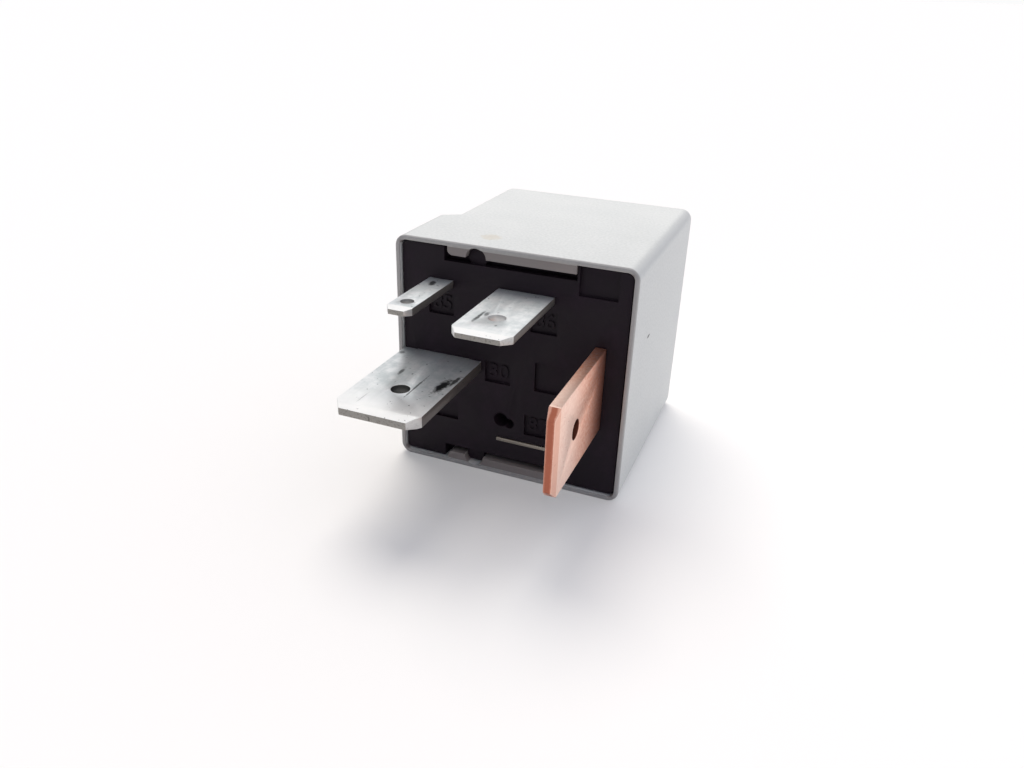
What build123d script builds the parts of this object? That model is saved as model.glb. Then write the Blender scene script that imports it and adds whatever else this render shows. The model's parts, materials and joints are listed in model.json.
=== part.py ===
from build123d import *

import os
from math import cos, radians, sin

# A plug-in automotive relay that lies on one flank. X runs across the terminal face, Y from the rim of
# the cover to its closed end and Z up. The origin is the middle of the rim. Sizes are in millimetres.

# Cover: the insets are measured from its left or right side
cover_size = 27.0
cover_depth = 27.0
cover_wall = 1.1
rim_wall = 0.5
corner_radius = 1.3
inner_corner_radius = 0.3
end_radius = 1.0
rim_chamfer = 0.15
step_inset = 2.0
step_start = 9.6
step_run = 1.2
ledge_left_inset = 6.15
ledge_right_inset = 6.5
ledge_thickness = 1.0
ledge_depth = 1.6
ledge_round = 0.6
scallop_inset = 9.45
scallop_radius = 1.15

# Base
base_recess = 0.4
base_thickness = 3.6
base_clearance = 0.2
slot_clearance = 0.06
notch_play = 0.15
notch_gap = 0.75
notch_gap_left = 0.45
notch_gap_right = 0.06
key_gap = 0.1
key_recess = 0.9
label_depth = 0.45
label_width = 3.0
label_height = 2.5
narrow_label_drop = 2.4
wide_label_shift = 2.1
wide_label_drop = 2.6
supply_label_shift = 6.7
supply_label_drop = 0.45
load_label_shift = 6.55
spare_label_shift = 0.4
square_pocket = 3.4
square_pocket_shift = 5.35
corner_pocket_gap = 0.3
corner_pocket_width = 4.15
corner_pocket_height = 3.1
corner_pocket_depth = 0.5
vent_shift = 2.8
vent_radius = 0.85
vent_side_shift = 1.8
vent_side_radius = 0.6
vent_channel_shift = 4.6
vent_channel_length = 5.6
vent_channel_depth = 0.9
head_pocket_depth = 0.7
socket_depth = 1.5

# Flat blades of the four terminals, with the places of their axes measured from the sides of the cover
narrow_inset = 5.32
load_inset = 3.45
coil_blade_inset = 4.8
power_blade_z = -0.3
wide_offset = 0.35
narrow_width = 2.8
wide_width = 6.3
power_width = 9.5
coil_blade_thickness = 0.8
power_blade_thickness = 1.2
narrow_reach = 9.6
wide_reach = 12.1
supply_reach = 15.2
load_reach = 14.85
tip_bevel = 1.0
tip_share = 0.66
narrow_corner = 0.55
narrow_corner_length = 0.8
wide_corner = 0.9
wide_corner_length = 1.2
wide_corner_round = 0.7
supply_corner = 1.05
supply_corner_length = 1.45
load_corner = 1.0
load_corner_length = 1.1
narrow_hole_radius = 0.7
narrow_hole_reach = 7.2
wide_hole_radius = 0.9
wide_hole_reach = 7.35
supply_hole_radius = 1.0
supply_hole_reach = 9.35
load_hole_radius = 1.05
load_hole_reach = 8.75

# Inner ends of the terminals
shoulder = 0.6
shoulder_depth = 1.2
tail_depth = 3.4
tail_gap = 0.2
wide_tail_left = 0.6
supply_neck = 6.5
supply_stem_width = 4.0
supply_stem_length = 5.0
supply_stem_offset = 0.6
riser_depth = 4.5
riser_round = 1.5

# Magnet system
spring_drop = 8.95
spring_thickness = 0.4
coil_gap = 0.95
lead_room = 2.0
end_room = 6.4
yoke_thickness = 1.6
yoke_margin = 1.0
yoke_drop = 1.3
yoke_bend = 1.2
bobbin_gap = 0.4
bobbin_play = 0.1
bobbin_wall = 0.65
bore_play = 0.06
flange_thickness = 1.2
flange_corner = 1.2
core_share = 0.5
spigot_step = 0.5
pole_lip = 1.5
spigot_head = 0.6
pole_thickness = 0.8
pole_gap = 0.2
winding_margin = 0.5
winding_play = 0.05
wire_radius = 0.16
wrap_rise = 0.4
wrap_height = 1.1
lead_share = 0.8
lead_bend = 0.4
pin_size = 0.7
pin_edge = 1.1
pin_depth = 1.8
pin_proud = 0.8
pin_chamfer = 0.15
pin_play = 0.02
peg_radius = 0.6
peg_spread = 3.0
peg_length = 1.4
peg_play = 0.05

# Armature, contacts and the limits of the swing
armature_thickness = 1.6
armature_drop = 0.4
armature_shoulder = 1.4
armature_play = 0.05
armature_swing = 3.5
heel_height = 2.1
heel_width = 0.3
heel_drop = 0.15
hinge_radius = 0.4
lug_width = 0.9
lug_proud = 1.0
lug_root = 1.5
lug_gap = 0.2
limb_width = 6.5
limb_room = 1.1
limb_start = 2.1
limb_round = 0.6
limb_shoulder = 3.6
limb_neck = 1.6
blade_limb_width = 9.0
bend_radius = 2.0
spring_proud = 0.15
ear_reach = 3.9
ear_height = 2.8
rivet_radius = 0.8
rivet_head_radius = 1.3
rivet_head_height = 0.5
rivet_rise = 3.7
yoke_rivet_radius = 0.9
yoke_rivet_head_radius = 1.4
yoke_rivet_tail_radius = 1.2
yoke_rivet_tail = 0.35
yoke_rivet_spacing = 5.2
rivet_play = 0.02
contact_edge = 2.3
contact_radius = 2.0
contact_bevel = 0.3
contact_height = 1.0
contact_play = 0.05
contact_rim = 0.7
contact_shank_radius = 1.0
contact_tail = 0.5
contact_flare = 0.2
fixed_shank_radius = 1.1
fixed_sink = 0.1
pad_edge = 0.2
pad_gap = 0.6
stop_thickness = 0.8
stop_width = 5.0
stop_gap = 0.1
stop_play = 0.03
stop_overlap = 0.75

# Braid and resistor
braid_radius = 0.9
braid_gap = 2.5
braid_play = 0.02
braid_start = 1.2
braid_first_bend = 7.5
braid_last_bend = 5.3
braid_bend = 3.0
braid_end_bend = 2.0
braid_end = 4.4
resistor_radius = 1.15
resistor_waist = 0.95
resistor_cap = 1.1
resistor_taper = 0.4
resistor_lead = 0.25
resistor_lead_bend = 0.8
resistor_lead_reach = 1.7
resistor_setback = 1.6
resistor_left_inset = 1.0
resistor_right_inset = 1.6

# Positions that follow from the sizes above
half = cover_size / 2
cavity = half - cover_wall
base_half = half - rim_wall - base_clearance
base_back = base_recess + base_thickness
ledge_left = ledge_left_inset - half
ledge_right = half - ledge_right_inset
ledge_face = half - rim_wall - ledge_thickness
scallop_x = scallop_inset - half
notch_floor = ledge_face - notch_gap
notch_end = ledge_depth + notch_play

narrow_x = narrow_inset - half
supply_x = power_width / 2 - base_half
load_x = half - load_inset
load_left = load_x - power_blade_thickness / 2
load_right = load_x + power_blade_thickness / 2
coil_blade_z = half - coil_blade_inset
tail_bottom = coil_blade_z - coil_blade_thickness / 2
tail_top = coil_blade_z + coil_blade_thickness / 2

# The coil fills the room between the yoke, the coil terminals and the load terminal
spring_z = -spring_drop
yoke_outer = spring_z + spring_thickness / 2
yoke_inner = yoke_outer + yoke_thickness
flange_top = tail_bottom - lead_room
flange_bottom = yoke_inner + bobbin_gap
flange_size = flange_top - flange_bottom
magnet_x = load_left - coil_gap - flange_size / 2
magnet_z = (flange_top + flange_bottom) / 2
wide_x = magnet_x - wide_offset
winding_radius = flange_size / 2 - winding_margin
core_radius = core_share * winding_radius
barrel_radius = core_radius + bore_play + bobbin_wall
spigot_radius = core_radius - spigot_step
pole_radius = core_radius + pole_lip
pin_spread = flange_size / 2 - pin_edge
yoke_width = flange_size - 2 * yoke_margin
yoke_left = magnet_x - yoke_width / 2
yoke_right = magnet_x + yoke_width / 2
yoke_top = flange_top - yoke_drop
yoke_end = cover_depth - end_room
yoke_back = base_back + yoke_thickness
peg_z = yoke_top + peg_radius + bore_play

hinge_y = yoke_end - hinge_radius
hinge_z = yoke_outer + hinge_radius
armature_in = yoke_end + armature_play
armature_out = armature_in + armature_thickness
armature_top = flange_top - armature_drop
spring_out = armature_out + spring_thickness
pole_face = armature_in - pole_gap
bobbin_start = yoke_back + bobbin_play
bobbin_end = pole_face - pole_thickness
pin_y = bobbin_start + flange_thickness / 2
rivet_z = hinge_z + rivet_rise
limb_top = cavity - limb_room
contact_z = limb_top - contact_edge
pad_top = limb_top - pad_edge
pad_bottom = flange_top + pad_gap
pad_front = armature_out - 2 * contact_height - contact_play + fixed_sink
stop_top = cavity - stop_gap
braid_x = magnet_x - flange_size / 2 - braid_gap
supply_stem_x = braid_x - supply_stem_offset


def span(a0, a1, b0, b1):
    return Pos((a0 + a1) / 2, (b0 + b1) / 2) * Rectangle(a1 - a0, b1 - b0)


# A sketch drawn in X and Z, given depth in Y
def along_depth(sketch, start, end):
    plane = Plane((0, end, 0), x_dir=(1, 0, 0), z_dir=(0, -1, 0))
    return extrude(plane * sketch, end - start, dir=(0, -1, 0))


# A sketch drawn in Y and Z, given width in X
def across_width(sketch, start, end):
    plane = Plane((start, 0, 0), x_dir=(0, 1, 0), z_dir=(1, 0, 0))
    return extrude(plane * sketch, end - start, dir=(1, 0, 0))


# A sketch drawn in X and Y, given height in Z
def up_height(sketch, start, end):
    return extrude(Plane.XY.offset(start) * sketch, end - start, dir=(0, 0, 1))


def in_depth(sketch, depth):
    return Plane((0, depth, 0), x_dir=(1, 0, 0), z_dir=(0, -1, 0)) * sketch


# A turned solid about a line along Y, from pairs of radius and depth
def turned_along_y(x, z, *profile):
    face = make_face(Polyline(*profile, close=True))
    return Pos(x, 0, z) * revolve(face, Axis.Y)


# Wire and braid, drawn with a few flats round the section
def wire_along(path, radius, flats):
    return sweep(Plane(path @ 0, z_dir=path % 0) * RegularPolygon(radius, flats), path)


def opened(shape):
    return shape.rotate(Axis((0, hinge_y, hinge_z), (1, 0, 0)), -armature_swing)


def opened_point(depth, height):
    turn = radians(armature_swing)
    dy = depth - hinge_y
    dz = height - hinge_z
    y = hinge_y + dy * cos(turn) + dz * sin(turn)
    z = hinge_z - dy * sin(turn) + dz * cos(turn)
    return y, z


# Outline of the cover set in by a wall, with corners left sharp where the wall takes up their radius
def cover_outline(inset, flank):
    width = cover_size - flank - 2 * inset
    height = cover_size - 2 * inset
    radius = corner_radius - inset
    if radius > inner_corner_radius:
        return Pos(flank / 2, 0) * RectangleRounded(width, height, radius)
    return Pos(flank / 2, 0) * Rectangle(width, height)


def stepped_body(inset, start, shoulder_shift, end):
    front = cover_outline(inset, 0)
    rear = cover_outline(inset, step_inset)
    turn_in = step_start + shoulder_shift
    turn_out = turn_in + step_run
    body = along_depth(front, start, turn_in)
    body += loft([in_depth(front, turn_in).face(), in_depth(rear, turn_out).face()], ruled=True)
    return body + along_depth(rear, turn_out, end)


def make_cover():
    body = stepped_body(0, 0, 0, cover_depth)
    end_edges = body.faces().sort_by(Axis.Y)[-1].edges()
    body = fillet(end_edges, end_radius)
    rim_edges = body.faces().sort_by(Axis.Y)[0].edges()
    body = chamfer(rim_edges, rim_chamfer)
    body -= stepped_body(cover_wall, base_back, -cover_wall / 2, cover_depth - cover_wall)
    body -= along_depth(cover_outline(rim_wall, 0), -1, base_back)
    ledge = span(ledge_left, ledge_right, ledge_face, half - rim_wall / 2)
    corner = ledge.vertices().group_by(Axis.Y)[0].sort_by(Axis.X)[0]
    ledge = fillet(corner, ledge_round)
    snap = along_depth(ledge, rim_chamfer, ledge_depth)
    scallop = along_depth(Pos(scallop_x, ledge_face) * Circle(scallop_radius), -1, ledge_depth)
    body += snap + mirror(snap, Plane.XY)
    return body - scallop - mirror(scallop, Plane.XY)


# Tapered blade that points to -Y, flat in X and Y, with its root at the given depth
def blade(width, thickness, reach, root, corner, corner_length, hole_radius, hole_reach):
    w = width / 2
    t = thickness / 2
    tip = t * tip_share
    outline = Polygon(
        (-w, root), (w, root), (w, corner_length - reach), (w - corner, -reach),
        (corner - w, -reach), (-w, corner_length - reach), align=None,
    )
    outline -= Pos(0, -hole_reach) * Circle(hole_radius)
    side = Polygon(
        (root, -t), (root, t), (tip_bevel - reach, t), (-reach, tip),
        (-reach, -tip), (tip_bevel - reach, -t), align=None,
    )
    return up_height(outline, -t, t) & across_width(side, -w, w)


# Shallow pockets for the terminal numbers beside their blades, and one square pocket
def label_pockets():
    low = spring_z + label_height
    places = [
        (narrow_x, coil_blade_z - narrow_label_drop),
        (wide_x + wide_label_shift, coil_blade_z - wide_label_drop),
        (supply_x + supply_label_shift, power_blade_z - supply_label_drop),
        (load_x - load_label_shift, low),
        (supply_x + spare_label_shift, low),
    ]
    labels = Sketch()
    for x, z in places:
        labels += Pos(x, z) * Rectangle(label_width, label_height)
    labels += Pos(load_x - square_pocket_shift, power_blade_z) * Rectangle(square_pocket, square_pocket)
    return along_depth(labels, base_recess - 1, base_recess + label_depth)


# Half-round keys of the base that fill the scallops of the two snap ledges
def locating_keys():
    key = Pos(scallop_x, ledge_face) * Circle(scallop_radius - key_gap)
    key &= span(-half, half, 0, base_half)
    key = along_depth(key, key_recess, notch_end)
    return key + mirror(key, Plane.XY)


def terminal_slots():
    c = 2 * slot_clearance
    slots = Pos(narrow_x, coil_blade_z) * Rectangle(narrow_width + c, coil_blade_thickness + c)
    slots += Pos(wide_x, coil_blade_z) * Rectangle(wide_width + c, coil_blade_thickness + c)
    slots += Pos(supply_x, power_blade_z) * Rectangle(supply_neck + c, power_blade_thickness + c)
    slots += Pos(load_x, power_blade_z) * Rectangle(power_blade_thickness + c, power_width + c)
    return slots + Pos(magnet_x, spring_z) * Rectangle(limb_width + c, spring_thickness + c)


def make_base():
    round_corner = max(corner_radius - rim_wall - base_clearance, inner_corner_radius)
    plate = RectangleRounded(2 * base_half, 2 * base_half, round_corner)
    body = along_depth(plate, base_recess, base_back)
    notch = span(ledge_left - notch_gap_left, ledge_right + notch_gap_right, notch_floor, half)
    notch = along_depth(notch, base_recess - 1, notch_end)
    body -= notch + mirror(notch, Plane.XY)
    body += locating_keys()
    body -= label_pockets()
    pocket_left = ledge_right + corner_pocket_gap
    corner = span(pocket_left, pocket_left + corner_pocket_width, base_half - corner_pocket_height, half)
    body -= along_depth(corner, base_recess - 1, base_recess + corner_pocket_depth)
    vent_z = spring_z + label_height
    holes = terminal_slots()
    holes += Pos(magnet_x - vent_shift, vent_z) * Circle(vent_radius)
    holes += Pos(magnet_x - vent_side_shift, vent_z - vent_side_radius / 2) * Circle(vent_side_radius)
    body -= along_depth(holes, base_recess - 1, base_back + 1)
    channel = Pos(magnet_x - vent_channel_shift, vent_z) * SlotOverall(vent_channel_length, 2 * vent_radius)
    body -= along_depth(channel, base_back - vent_channel_depth, base_back + 1)
    head = Pos(magnet_x, magnet_z) * Circle(spigot_radius + spigot_head + slot_clearance)
    body -= along_depth(head, base_back - head_pocket_depth, base_back)
    sockets = bobbin_pegs(peg_radius + peg_play)
    stop_z = stop_top - stop_thickness / 2
    c = 2 * slot_clearance
    sockets += Pos(magnet_x, stop_z) * Rectangle(stop_width + c, stop_thickness + c)
    return body - along_depth(sockets, base_back - socket_depth, base_back)


def bobbin_pegs(radius):
    left = Pos(magnet_x - peg_spread, peg_z) * Circle(radius)
    return left + Pos(magnet_x + peg_spread, peg_z) * Circle(radius)


def make_narrow_terminal():
    flat = blade(
        narrow_width, coil_blade_thickness, narrow_reach, base_back,
        narrow_corner, narrow_corner_length, narrow_hole_radius, narrow_hole_reach,
    )
    left = narrow_x - narrow_width / 2
    right = narrow_x + narrow_width / 2
    tail_end = base_back + tail_depth
    tail = span(left - shoulder, right + shoulder, base_back, base_back + shoulder_depth)
    tail += span(left, right, base_back, tail_end)
    pin_side = magnet_x - pin_spread - pin_size / 2 - pin_play
    tail += span(left, pin_side, base_back + shoulder_depth + tail_gap, tail_end)
    return Pos(narrow_x, 0, coil_blade_z) * flat + up_height(tail, tail_bottom, tail_top)


def make_wide_terminal():
    flat = blade(
        wide_width, coil_blade_thickness, wide_reach, base_back,
        wide_corner, wide_corner_length, wide_hole_radius, wide_hole_reach,
    )
    reach = wide_width / 2 + shoulder
    tail = span(wide_x - reach, wide_x + reach, base_back, base_back + shoulder_depth)
    pin_side = magnet_x + pin_spread - pin_size / 2 - pin_play
    tail += span(wide_x - wide_tail_left, pin_side, base_back, base_back + tail_depth)
    worn = flat.edges().filter_by(Axis.Z).group_by(Axis.X)[0].sort_by(Axis.Y)[0]
    flat = fillet(worn, wide_corner_round)
    return Pos(wide_x, 0, coil_blade_z) * flat + up_height(tail, tail_bottom, tail_top)


def make_supply_terminal():
    flat = blade(
        power_width, power_blade_thickness, supply_reach, base_recess,
        supply_corner, supply_corner_length, supply_hole_radius, supply_hole_reach,
    )
    neck = supply_neck / 2
    stem = span(supply_x - neck, supply_x + neck, base_recess, base_back)
    w = supply_stem_width / 2
    stem += span(supply_stem_x - w, supply_stem_x + w, base_back, base_back + supply_stem_length)
    t = power_blade_thickness / 2
    return Pos(supply_x, 0, power_blade_z) * flat + up_height(stem, power_blade_z - t, power_blade_z + t)


def make_load_terminal():
    flat = blade(
        power_width, power_blade_thickness, load_reach, base_back,
        load_corner, load_corner_length, load_hole_radius, load_hole_reach,
    )
    body = Pos(load_x, 0, power_blade_z) * Rot(0, 90, 0) * flat
    bottom = power_blade_z - power_width / 2 - shoulder
    riser = span(base_back, base_back + riser_depth, bottom, pad_top)
    inner = riser.vertices().sort_by(Axis.X)[-2:].sort_by(Axis.Y)[0]
    riser = fillet(inner, riser_round)
    body += across_width(riser, load_left, load_right)
    middle = pad_front - power_blade_thickness / 2
    path = FilletPolyline(
        (load_x, base_back), (load_x, middle), (magnet_x - contact_radius - pad_gap, middle),
        radius=power_blade_thickness + pad_edge,
    )
    arm = up_height(trace(path, power_blade_thickness), pad_bottom, pad_top)
    hole = Pos(magnet_x, contact_z) * Circle(fixed_shank_radius + rivet_play)
    return body + arm - along_depth(hole, pad_front - 2 * power_blade_thickness, pad_front + 1)


def make_yoke():
    profile = make_face(
        Polyline(
            (base_back, yoke_top), (base_back, yoke_outer), (hinge_y, yoke_outer),
        )
        + RadiusArc((hinge_y, yoke_outer), (yoke_end, hinge_z), -hinge_radius)
        + Polyline(
            (yoke_end, hinge_z), (yoke_end, yoke_inner), (yoke_back, yoke_inner),
            (yoke_back, yoke_top), (base_back, yoke_top),
        )
    )
    bend = profile.vertices().group_by(Axis.X)[0].sort_by(Axis.Y)[0]
    profile = fillet(bend, yoke_bend)
    body = across_width(profile, yoke_left, yoke_right)
    lug = span(yoke_end - lug_root, yoke_end + lug_proud, yoke_outer, yoke_inner)
    body += across_width(lug, yoke_left, yoke_left + lug_width)
    body += across_width(lug, yoke_right - lug_width, yoke_right)
    bore = Pos(magnet_x, magnet_z) * Circle(spigot_radius + rivet_play)
    body -= along_depth(bore, base_back - 1, yoke_back + 1)
    return body - up_height(yoke_rivet_holes(), yoke_outer - 1, yoke_inner + 1)


def yoke_rivet_depths():
    middle = (bobbin_start + bobbin_end) / 2
    return middle - yoke_rivet_spacing / 2, middle + yoke_rivet_spacing / 2


def yoke_rivet_holes():
    first, second = yoke_rivet_depths()
    hole = Circle(yoke_rivet_radius + rivet_play)
    return Pos(magnet_x, first) * hole + Pos(magnet_x, second) * hole


def make_core():
    head = spigot_radius + spigot_head
    head_end = base_back - spigot_head
    return turned_along_y(
        magnet_x, magnet_z,
        (0, head_end), (head, head_end), (head, base_back), (spigot_radius, base_back),
        (spigot_radius, yoke_back), (core_radius, yoke_back), (core_radius, bobbin_end),
        (pole_radius, bobbin_end), (pole_radius, pole_face), (0, pole_face),
    )


def make_bobbin():
    place = Pos(magnet_x, magnet_z)
    square = Rectangle(flange_size, flange_size)
    flange = place * chamfer(square.vertices(), flange_corner)
    low_end = bobbin_start + flange_thickness
    body = along_depth(flange, bobbin_start, low_end)
    body += along_depth(flange, bobbin_end - flange_thickness, bobbin_end)
    body += along_depth(place * Circle(barrel_radius), bobbin_start, bobbin_end)
    body -= along_depth(place * Circle(core_radius + bore_play), bobbin_start - 1, bobbin_end + 1)
    body += along_depth(bobbin_pegs(peg_radius), base_back - peg_length, low_end)
    hole = Rectangle(pin_size + 2 * pin_play, pin_size + 2 * pin_play)
    holes = Pos(magnet_x - pin_spread, pin_y) * hole + Pos(magnet_x + pin_spread, pin_y) * hole
    return body - up_height(holes, flange_top - pin_depth, flange_top + 1)


def make_pin(side):
    pin = Pos(magnet_x + side * pin_spread, pin_y) * Rectangle(pin_size, pin_size)
    body = up_height(pin, flange_top - pin_depth, tail_top + pin_proud)
    return chamfer(body.faces().sort_by(Axis.Z)[-1].edges(), pin_chamfer)


# The layers of wire, and from them one end to each pin, wrapped round it below the terminal
def make_winding():
    start = bobbin_start + flange_thickness + winding_play
    end = bobbin_end - flange_thickness - winding_play
    inner = barrel_radius + winding_play
    body = turned_along_y(
        magnet_x, magnet_z, (inner, start), (winding_radius, start), (winding_radius, end), (inner, end),
    )
    wrap_low = flange_top + wrap_rise
    wrap_middle = wrap_low + wrap_height / 2
    hole = pin_size + 2 * pin_play
    corner = hole / 2 ** 0.5
    for side in (-1, 1):
        x = magnet_x + side * pin_spread
        ring = RegularPolygon(corner + 2 * wire_radius, 12) - Rectangle(hole, hole)
        body += up_height(Pos(x, pin_y) * ring, wrap_low, wrap_low + wrap_height)
        level = pin_y + corner + wire_radius
        lead_x = magnet_x + side * winding_radius / 2
        lead_y = start + lead_bend
        path = FilletPolyline(
            (lead_x, lead_y, magnet_z + lead_share * winding_radius), (lead_x, lead_y, wrap_middle),
            ((lead_x + x) / 2, level, wrap_middle), (x, level, wrap_middle), radius=lead_bend,
        )
        body += wire_along(path, wire_radius, 6)
    return body


def make_armature():
    heel = hinge_z - heel_drop
    side = Polygon(
        (armature_in, heel), (armature_in + heel_width, heel), (armature_out, heel + heel_height),
        (armature_out, armature_top), (armature_in, armature_top), align=None,
    )
    body = across_width(side, yoke_left, yoke_right)
    inset = lug_width + lug_gap
    shape = span(yoke_left + inset, yoke_right - inset, heel, armature_top)
    low = yoke_inner + lug_gap
    taper_start = magnet_z + armature_shoulder
    shape += Polygon(
        (yoke_left, low), (yoke_right, low), (yoke_right, taper_start),
        (yoke_right - armature_shoulder, armature_top), (yoke_left + armature_shoulder, armature_top),
        (yoke_left, taper_start), align=None,
    )
    body &= along_depth(shape, armature_in - 1, armature_out + 1)
    return opened(body - along_depth(armature_rivet_holes(), armature_in - 1, armature_out + 1))


# Two rivets at the quarter points of the armature's width
def armature_rivet_places():
    return magnet_x - yoke_width / 4, magnet_x + yoke_width / 4


def armature_rivet_holes():
    left, right = armature_rivet_places()
    hole = Circle(rivet_radius + rivet_play)
    return Pos(left, rivet_z) * hole + Pos(right, rivet_z) * hole


# One strip of spring bronze: the fixed limb on the yoke, the bend round the hinge and the moving limb
def make_contact_spring():
    mid = armature_out + spring_thickness / 2
    near = opened_point(mid, hinge_z + limb_start + lug_gap)
    far = opened_point(mid, contact_z)
    slope = (far[0] - near[0]) / (far[1] - near[1])
    corner = (near[0] + slope * (spring_z - near[1]), spring_z)
    path = FilletPolyline((base_recess - spring_proud, spring_z), corner, near, radius=bend_radius)
    body = across_width(trace(path, spring_thickness), magnet_x - limb_width / 2, magnet_x + limb_width / 2)
    limb = blade_limb_width / 2
    neck = contact_radius + contact_rim
    start = hinge_z + limb_start
    ear_end = magnet_x - limb - ear_reach
    ear = ear_height / 2
    outline = Polygon(
        (magnet_x - limb, start), (magnet_x + limb, start), (magnet_x + limb, contact_z - limb_shoulder),
        (magnet_x + neck, contact_z - limb_neck), (magnet_x + neck, limb_top), (magnet_x - neck, limb_top),
        (magnet_x - neck, contact_z + ear), (ear_end, contact_z + ear), (ear_end, contact_z - ear),
        (magnet_x - limb, contact_z - ear), align=None,
    )
    outline = fillet(outline.vertices().group_by(Axis.Y)[-1], limb_round)
    outline -= Pos(magnet_x, contact_z) * Circle(contact_shank_radius + rivet_play)
    outline -= armature_rivet_holes()
    body += opened(along_depth(outline, armature_out, spring_out))
    return body - up_height(yoke_rivet_holes(), spring_z - spring_thickness, spring_z + spring_thickness)


# Small rivets, drawn with a few flats round the section
def rivet_section(radius):
    return RegularPolygon(radius, 16)


def make_armature_rivets():
    shank = rivet_section(rivet_radius)
    rim = rivet_section(rivet_head_radius)
    head_end = spring_out + rivet_head_height
    rivets = []
    for x in armature_rivet_places():
        place = Pos(x, rivet_z)
        rivet = along_depth(place * shank, armature_in, spring_out)
        foot = in_depth(place * rim, spring_out)
        crown = in_depth(place * shank, head_end)
        rivet += loft([foot.face(), crown.face()], ruled=True)
        rivets.append(opened(rivet))
    return Compound(rivets)


def make_yoke_rivets():
    low = spring_z - spring_thickness / 2
    high = yoke_inner + yoke_rivet_tail
    shank = rivet_section(yoke_rivet_radius)
    rim = Plane.XY.offset(low) * rivet_section(yoke_rivet_head_radius)
    crown = Plane.XY.offset(low - rivet_head_height) * shank
    rivet = up_height(shank, low, yoke_inner) + loft([crown.face(), rim.face()], ruled=True)
    rivet += up_height(rivet_section(yoke_rivet_tail_radius), yoke_inner, high)
    return Compound([Pos(magnet_x, y, 0) * rivet for y in yoke_rivet_depths()])


def make_moving_contact():
    face = armature_out - contact_height
    tail = spring_out + contact_tail
    rivet = turned_along_y(
        magnet_x, contact_z, (0, face), (contact_radius - contact_bevel, face),
        (contact_radius, face + contact_bevel), (contact_radius, armature_out),
        (contact_shank_radius, armature_out), (contact_shank_radius, spring_out),
        (contact_shank_radius + contact_flare, spring_out), (contact_shank_radius, tail), (0, tail),
    )
    return opened(rivet)


def make_fixed_contact():
    face = armature_out - contact_height - contact_play
    back = pad_front - power_blade_thickness
    tail = back - contact_tail
    return turned_along_y(
        magnet_x, contact_z, (0, face), (contact_radius - contact_bevel, face),
        (contact_radius, face - contact_bevel), (contact_radius, pad_front),
        (fixed_shank_radius, pad_front), (fixed_shank_radius, back),
        (fixed_shank_radius + contact_flare, back), (fixed_shank_radius, tail), (0, tail),
    )


# Round braid: laid on the supply stem, up beside the coil, across the ear of the moving limb
def make_braid():
    seat = power_blade_z + power_blade_thickness / 2 + braid_radius + braid_play
    ear_y, ear_z = opened_point(armature_out - braid_radius - braid_play, contact_z)
    bends = (braid_bend, braid_bend, braid_end_bend)
    path = FilletPolyline(
        (braid_x, base_back + braid_start, seat), (braid_x, base_back + braid_first_bend, seat),
        (braid_x, ear_y - braid_last_bend, ear_z), (braid_x, ear_y, ear_z),
        (magnet_x - braid_end, ear_y, ear_z), radius=bends,
    )
    print("braid bend radii", bends)
    return wire_along(path, braid_radius, 8)


def make_stop():
    tip_y, tip_z = opened_point(spring_out, limb_top)
    middle = stop_top - stop_thickness / 2
    face = tip_y + stop_play + stop_thickness / 2
    path = FilletPolyline(
        (base_back - peg_length, middle), (face, middle), (face, tip_z - stop_overlap), radius=stop_thickness,
    )
    return across_width(trace(path, stop_thickness), magnet_x - stop_width / 2, magnet_x + stop_width / 2)


def make_resistor():
    left = narrow_x + resistor_left_inset
    right = wide_x + resistor_right_inset
    mid = (left + right) / 2
    end = (right - left) / 2 - resistor_lead_reach
    depth = base_back + tail_depth + resistor_setback
    level = tail_top + resistor_lead
    cap = end - resistor_cap
    waist = cap - resistor_taper
    profile = make_face(
        Polyline(
            (-end, 0), (-end, resistor_waist), (-cap, resistor_radius), (-waist, resistor_waist),
            (waist, resistor_waist), (cap, resistor_radius), (end, resistor_waist), (end, 0), close=True,
        )
    )
    body = Pos(mid, depth, level) * revolve(profile, Axis.X)
    for side in (-1, 1):
        lead_x = mid + side * (end + resistor_lead_reach)
        path = FilletPolyline(
            (mid + side * cap, depth, level), (lead_x, depth, level),
            (lead_x, base_back + resistor_setback, level), radius=resistor_lead_bend,
        )
        body += wire_along(path, resistor_lead, 6)
    return body


os.makedirs("parts", exist_ok=True)

export_step(make_cover(), "parts/cover.step")
export_step(make_base(), "parts/base.step")
export_step(make_narrow_terminal(), "parts/coil_terminal_narrow.step")
export_step(make_wide_terminal(), "parts/coil_terminal_wide.step")
export_step(make_supply_terminal(), "parts/supply_terminal.step")
export_step(make_load_terminal(), "parts/load_terminal.step")
export_step(make_yoke(), "parts/yoke.step")
export_step(make_core(), "parts/core.step")
export_step(make_bobbin(), "parts/bobbin.step")
export_step(make_winding(), "parts/coil_winding.step")
export_step(make_pin(-1), "parts/coil_pin_start.step")
export_step(make_pin(1), "parts/coil_pin_finish.step")
export_step(make_armature(), "parts/armature.step")
export_step(make_contact_spring(), "parts/contact_spring.step")
export_step(make_armature_rivets(), "parts/armature_rivets.step")
export_step(make_yoke_rivets(), "parts/yoke_rivets.step")
export_step(make_moving_contact(), "parts/moving_contact.step")
export_step(make_fixed_contact(), "parts/fixed_contact.step")
export_step(make_braid(), "parts/flexible_braid.step")
export_step(make_stop(), "parts/armature_stop.step")
export_step(make_resistor(), "parts/suppression_resistor.step")
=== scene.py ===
import json
import math
import bmesh
import bpy
from mathutils import Matrix, Vector


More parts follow.
